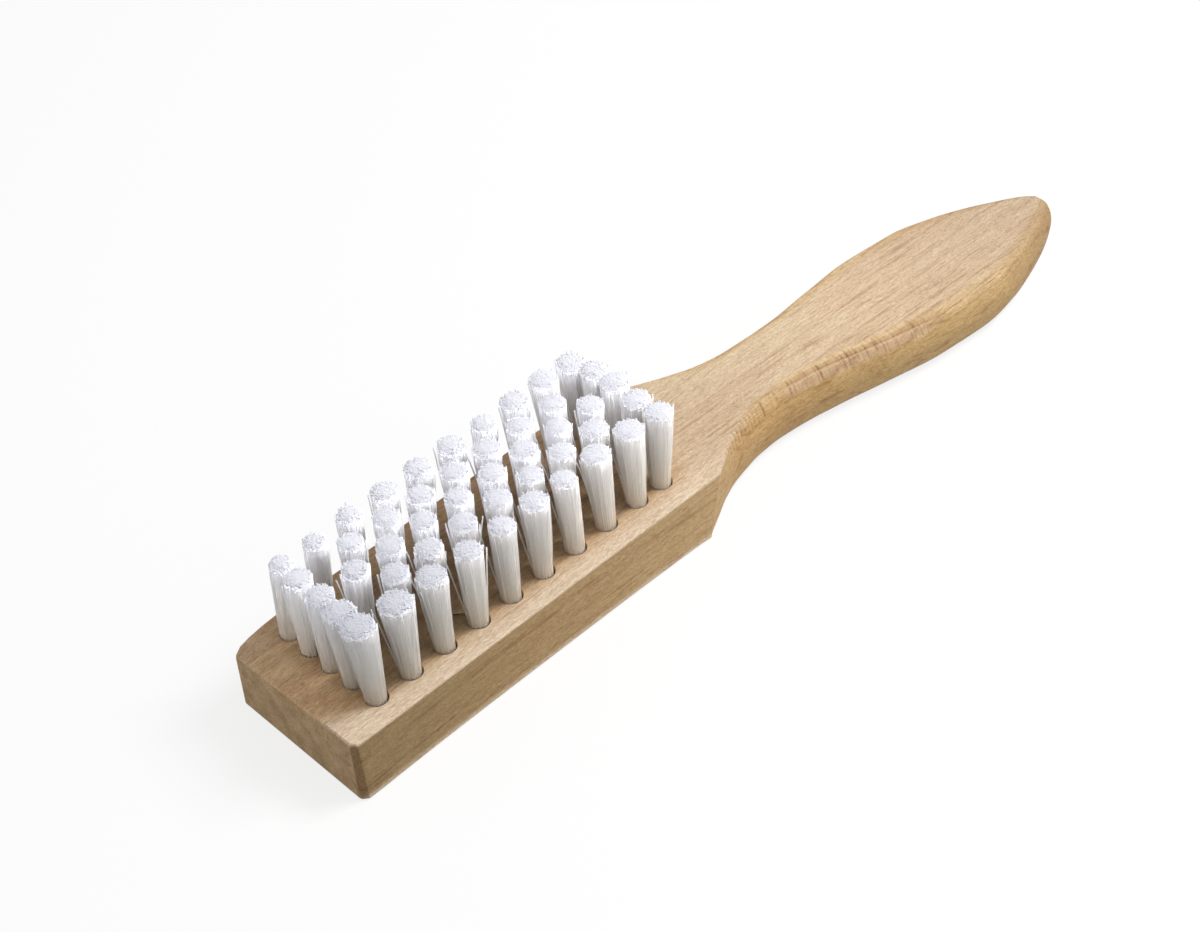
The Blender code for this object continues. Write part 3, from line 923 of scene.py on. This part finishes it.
class Beech(Painted):
    """Sanded beech, with painted shade on the sides, painted light and shade on the head, and
    darkened cutter's marks.
    """

    line = (0.62, 0.50, 0.40)
    dark_mark = (0.270, 0.150, 0.060)

    def __init__(self):
        super().__init__("beech_sanded")
        self.along = self.between(self.x, -46.0, 158.0)
        widen = self.product(self.between(self.x, -35.0, -HEAD_HALF_LENGTH), 5.0 * MM)
        self.across = self.calc("SUBTRACT", self.y, widen)
        self.ahead = self.product(self.between(self.x, -34.0, -40.0),
                                  self.between(self.across, -15.0, -12.0),
                                  self.ramp(self.between(self.y, 4.0, 15.0),
                                            (0.0, 1.0), (1.0, 0.45)))

    def board(self):
        """Slow drift of tone along the board; its darker front end is painted shade, for light
        that falls off away from the handle.
        """
        pale = (0.770, 0.610, 0.410)
        pink = (0.715, 0.520, 0.350)
        drift = self.patches((16, 70, 70), 0.35, 0.7)
        self.colour = self.mix(drift, pale, pink)
        self.tint(1.0, self.ramp(self.along, (0.0, 0.88), (0.22, 0.94), (0.34, 1.0), (0.47, 0.88),
                                 (0.56, 0.92), (0.72, 0.97), (0.97, 0.78)))

    def near_strip(self):
        """The strip along the near edge of the head is painted paler, as painted light where the
        tufts' shadow does not reach.
        """
        strip_light = (0.810, 0.660, 0.490)
        near = self.product(self.between(self.across, -11.5, -15.5),
                            self.between(self.x, 62.0, 40.0))
        self.cover(self.product(near, 0.8), strip_light)

    def bristle_field(self):
        """Among the tufts the wood is darkened, as painted shade where the tufts shade it."""
        field_shade = (0.80, 0.68, 0.54)
        field = self.product(self.between(self.across, -15.0, -11.5),
                             self.between(self.x, 45.0, 36.0),
                             self.between(self.x, -41.0, -35.0))
        self.tint(self.product(field, 0.80), field_shade)

    def front_end(self):
        """The front end of the bristle face is painted lighter and browner, as painted light in
        the tufts' shadow, with reddish blotches.
        """
        front_light = (1.44, 1.28, 1.10)
        stain = (0.800, 0.660, 0.560)
        self.tint(self.ahead, front_light)
        cloud = self.patches((260, 420, 420), 0.40, 0.62, detail=4.0, rough=0.65)
        self.tint(self.product(self.ahead, cloud, 0.60), stain)

    def sides(self):
        """The sides are darker and more saturated, as painted shade, deepest towards the front
        where the light falls off.
        """
        deep = self.ramp(self.along, (0.0, (0.270, 0.175, 0.055)), (0.20, (0.420, 0.262, 0.095)),
                         (0.42, (0.570, 0.380, 0.170)), (0.55, (0.600, 0.370, 0.135)),
                         (0.75, (0.640, 0.430, 0.170)), (0.86, (0.550, 0.360, 0.145)),
                         (0.93, (0.440, 0.280, 0.115)), (1.0, (0.380, 0.240, 0.095)))
        self.cover(self.product(self.attribute("side"), 0.85), deep)

    def sawn_ends(self):
        pale = (0.710, 0.505, 0.275)
        dark = (0.50, 0.33, 0.165)
        facing_x = self.axes("Normal")["X"]
        ends = self.span(self.calc("ABSOLUTE", facing_x), 0.8, 0.95)
        mottle = self.patches((240, 240, 240), 0.40, 0.62, shift=(2, 5, 1), detail=4.0, rough=0.65)
        self.cover(ends, self.mix(mottle, pale, dark))

    def front_corner(self):
        """The corner between the front end and the near side is darkened."""
        beside = self.calc("ADD", self.x, 45.5 * MM)
        inward = self.calc("ADD", self.y, 17.3 * MM)
        away = self.calc("ADD", self.product(beside, beside), self.product(inward, inward))
        corner = self.product(self.between(self.calc("SQRT", away), 1.3, 0.5),
                              self.between(self.z, 13.4, 12.4))
        self.cover(self.product(corner, 0.60), self.dark_mark)

    def growth_lines(self):
        """Soft bands along the length, and thin broken lines between them."""
        plain = self.calc("SUBTRACT", 1.0, self.product(self.ahead, 0.7))
        bands = self.patches((9, 620, 400), 0.46, 0.60, detail=5.0, rough=0.7, distort=0.25)
        fade = self.ramp(self.noise((30, 90, 90), shift=(3, 1, 2)), (0.35, 0.3), (0.65, 1.0))
        self.tint(self.product(bands, self.product(fade, plain), 0.30), self.line)
        lines = self.ramp(self.noise((5, 330, 240), shift=(1, 4, 2), rough=0.4),
                          (0.465, 0.0), (0.50, 1.0), (0.535, 0.0))
        broken = self.patches((110, 700, 600), 0.42, 0.60, detail=3.0, rough=0.6)
        self.tint(self.product(lines, self.product(broken, plain), 0.75), self.line)

    def fine_grain(self):
        """Fine grain, short ray flecks, pores, and the pale fibres between the pores."""
        fleck = (0.58, 0.45, 0.35)
        fibre = (1.16, 1.20, 1.26)
        self.grain = self.patches((170, 2300, 2000), 0.44, 0.64, detail=3.0, rough=0.65)
        self.flecks = self.patches((560, 3300, 2700), 0.53, 0.64, detail=3.0, rough=0.6)
        self.pores = self.noise((1500, 5200, 4300), detail=1.0)
        self.tint(self.product(self.grain, 0.32), self.line)
        self.tint(self.product(self.flecks, 0.42), fleck)
        self.tint(self.product(self.ramp(self.pores, (0.3, 1.0), (0.50, 0.0)), 0.36), self.line)
        self.tint(self.ramp(self.pores, (0.54, 0.0), (0.72, 1.0)), fibre)

    def cutter_marks(self):
        """The cutter's facet is bare, the fibres above it torn, its marks darkened."""
        bare = (0.62, 0.425, 0.255)
        fuzz = (0.740, 0.570, 0.310)
        facet = self.attribute("facet")
        torn = self.attribute("torn")
        self.cover(self.product(facet, 0.45), bare)
        self.cover(self.product(torn, 0.45), fuzz)
        hairs = self.patches((1500, 160, 120), 0.50, 0.62, detail=3.0, rough=0.6)
        self.tint(self.product(hairs, self.calc("MAXIMUM", torn, facet), 0.55), self.line)
        self.cover(self.product(self.attribute("mark"), 0.50), self.dark_mark)

    def surface(self):
        """A fine relief from the grain, and a dull surface that is duller at the pores."""
        height = self.calc("ADD", self.product(self.grain, -0.5), self.product(self.flecks, -0.5))
        height = self.calc("ADD", height, self.product(self.pores, 0.8))
        bump = self.add("ShaderNodeBump")
        bump.inputs["Strength"].default_value = 0.5
        bump.inputs["Distance"].default_value = 0.08 * MM
        self.link(height, bump.inputs["Height"])
        self.link(bump.outputs["Normal"], self.shader.inputs["Normal"])
        rough = self.calc("ADD", self.product(self.pores, 0.12), 0.58)
        self.link(rough, self.shader.inputs["Roughness"])
        self.set("Specular IOR Level", 0.3)


def make_beech():
    beech = Beech()
    beech.board()
    beech.near_strip()
    beech.bristle_field()
    beech.front_end()
    beech.sides()
    beech.sawn_ends()
    beech.front_corner()
    beech.growth_lines()
    beech.fine_grain()
    beech.cutter_marks()
    beech.surface()
    beech.link(beech.colour, beech.shader.inputs["Base Color"])
    return beech.owner


class Nylon(Painted):
    """White nylon, with painted shade and a painted warm reflection of the wood towards the foot,
    painted light near the trimmed top, and painted shade on the near rows.
    """

    def __init__(self):
        super().__init__("nylon_white")
        self.cut = self.between(self.z, THICKNESS + 17.2, THICKNESS + 17.8)

    def length(self):
        # Painted shade and the wood's painted warm reflection at the foot, painted light towards
        # the trimmed top
        low = (0.65, 0.60, 0.53)
        middle = (0.78, 0.765, 0.745)
        high = (0.95, 0.945, 0.97)
        rim = (0.88, 0.88, 0.92)
        near_row_shade = (0.80, 0.78, 0.745)
        up = self.between(self.z, THICKNESS, THICKNESS + TRIM_HEIGHT)
        self.colour = self.ramp(up, (0.0, low), (0.45, middle), (0.88, high), (0.94, rim))
        # Painted shade on the near rows of tufts
        self.tint(self.between(self.y, -3.5, -9.5), near_row_shade)

    def cut_ends(self):
        tip = (0.93, 0.93, 0.99)
        shade = (0.74, 0.74, 0.82)
        speckle = self.patches((2600, 2600, 2600), 0.42, 0.58, detail=1.0)
        self.cover(self.cut, self.mix(self.product(speckle, 0.15), tip, shade))

    def front_and_streaks(self):
        """The near front tufts are greyer, as painted shade, and every tuft has faint streaks
        along it.
        """
        grey = (0.78, 0.79, 0.80)
        streak = (0.74, 0.73, 0.74)
        front = self.product(self.between(self.x, 10.0, -40.0), self.between(self.y, 6.0, -8.0))
        self.tint(front, grey)
        self.tint(self.product(self.patches((1500, 1500, 25), 0.4, 0.65), 0.16), streak)

    def surface(self):
        """Light spreads inside a tuft and leaves it again beside, but not at the cut ends."""
        self.shader.subsurface_method = "BURLEY"
        weight = self.product(self.calc("SUBTRACT", 1.0, self.cut), 0.75)
        self.link(weight, self.shader.inputs["Subsurface Weight"])
        self.set("Subsurface Radius", (1.0, 1.0, 1.0))
        self.set("Subsurface Scale", 2.5 * MM)
        self.set("Roughness", 0.40)
        self.set("Specular IOR Level", 0.4)


def make_nylon():
    nylon = Nylon()
    nylon.length()
    nylon.cut_ends()
    nylon.front_and_streaks()
    nylon.surface()
    nylon.link(nylon.colour, nylon.shader.inputs["Base Color"])
    return nylon.owner


# Stage, light and camera, with places in metres
FLOOR_HALF = 3.0
FLOOR_PLACE = (0.05, 0.0, -0.0002)
FLOOR_GLOW = 0.80
WORLD_STRENGTH = 0.425
# Each light: place, target, width and power
KEY = ((0.37, -0.20, 0.60), (0.02, 0.0, 0.01), 0.24, 3.65)
FILL = ((0.20, -0.30, 0.14), (0.03, 0.0, 0.02), 0.22, 0.17)
CAMERA_PLACE = Vector((-0.20414, -0.26585, 0.33957))
CAMERA_TARGET = Vector((0.035, 0.004052, 0.010))
CAMERA_ROLL = math.radians(-5.0128)
LENS = 76.26
SENSOR_WIDTH = 36.0
CLIP_START = 0.01


def seen_directly(nodes):
    """1 for rays from the camera and for those mirrored or let through, 0 for the rest."""
    rays = nodes.add("ShaderNodeLightPath").outputs
    seen = nodes.calc("MAXIMUM", rays["Is Camera Ray"], rays["Is Glossy Ray"])
    return nodes.calc("MAXIMUM", seen, rays["Is Transmission Ray"])


def make_floor_material():
    """White as seen, and a plain grey for the light that it sends back to the brush."""
    grey = (0.50, 0.50, 0.50)
    white = (0.97, 0.97, 0.97)
    floor = Nodes(bpy.data.materials.new("floor_white"))
    shader = floor.tree.nodes["Principled BSDF"]
    shader.inputs["Roughness"].default_value = 0.9
    shader.inputs["Specular IOR Level"].default_value = 0.0
    bright = floor.add("ShaderNodeEmission")
    bright.inputs["Color"].default_value = (1.0, 1.0, 1.0, 1.0)
    bright.inputs["Strength"].default_value = 1.0
    seen = seen_directly(floor)
    floor.link(floor.mix(seen, grey, white), shader.inputs["Base Color"])
    blend = floor.add("ShaderNodeMixShader")
    floor.link(floor.product(seen, FLOOR_GLOW), blend.inputs[0])
    floor.link(shader.outputs[0], blend.inputs[1])
    floor.link(bright.outputs[0], blend.inputs[2])
    floor.link(blend.outputs[0], floor.tree.nodes["Material Output"].inputs["Surface"])
    return floor.owner


def make_floor():
    bm = bmesh.new()
    bmesh.ops.create_grid(bm, x_segments=2, y_segments=2, size=FLOOR_HALF)
    mesh = bpy.data.meshes.new("floor")
    bm.to_mesh(mesh)
    bm.free()
    mesh.materials.append(make_floor_material())
    floor = bpy.data.objects.new("floor", mesh)
    floor.location = FLOOR_PLACE
    bpy.context.scene.collection.objects.link(floor)


def make_world():
    """White as seen, and softer for the light that it gives."""
    world = Nodes(bpy.data.worlds.new("studio"))
    bpy.context.scene.world = world.owner
    back = world.tree.nodes["Background"]
    back.inputs["Color"].default_value = (1.0, 1.0, 1.0, 1.0)
    rays = world.add("ShaderNodeLightPath").outputs
    seen = world.calc("MAXIMUM", rays["Is Camera Ray"], rays["Is Glossy Ray"])
    world.link(world.span(seen, 0.0, 1.0, WORLD_STRENGTH, 1.0), back.inputs["Strength"])


def add_light(name, place, target, size, power):
    data = bpy.data.lights.new(name, "AREA")
    data.shape = "SQUARE"
    data.size = size
    data.energy = power
    lamp = bpy.data.objects.new(name, data)
    bpy.context.scene.collection.objects.link(lamp)
    lamp.location = place
    aim = Vector(target) - Vector(place)
    lamp.rotation_euler = aim.to_track_quat("-Z", "Y").to_euler()


def make_camera():
    data = bpy.data.cameras.new("photo_view")
    data.sensor_width = SENSOR_WIDTH
    data.sensor_fit = "HORIZONTAL"
    data.lens = LENS
    data.clip_start = CLIP_START
    camera = bpy.data.objects.new("photo_view", data)
    bpy.context.scene.collection.objects.link(camera)
    aim = (CAMERA_TARGET - CAMERA_PLACE).to_track_quat("-Z", "Y").to_matrix().to_4x4()
    roll = Matrix.Rotation(CAMERA_ROLL, 4, "Z")
    camera.matrix_world = Matrix.Translation(CAMERA_PLACE) @ aim @ roll
    bpy.context.scene.camera = camera


def main():
    make_wood(make_beech())
    nylon = make_nylon()
    for row, column, x, y in hole_places():
        make_tuft(row, column, x, y, nylon)
    make_floor()
    make_world()
    add_light("key", *KEY)
    add_light("fill", *FILL)
    make_camera()
    bpy.context.scene.view_settings.view_transform = "Standard"


main()
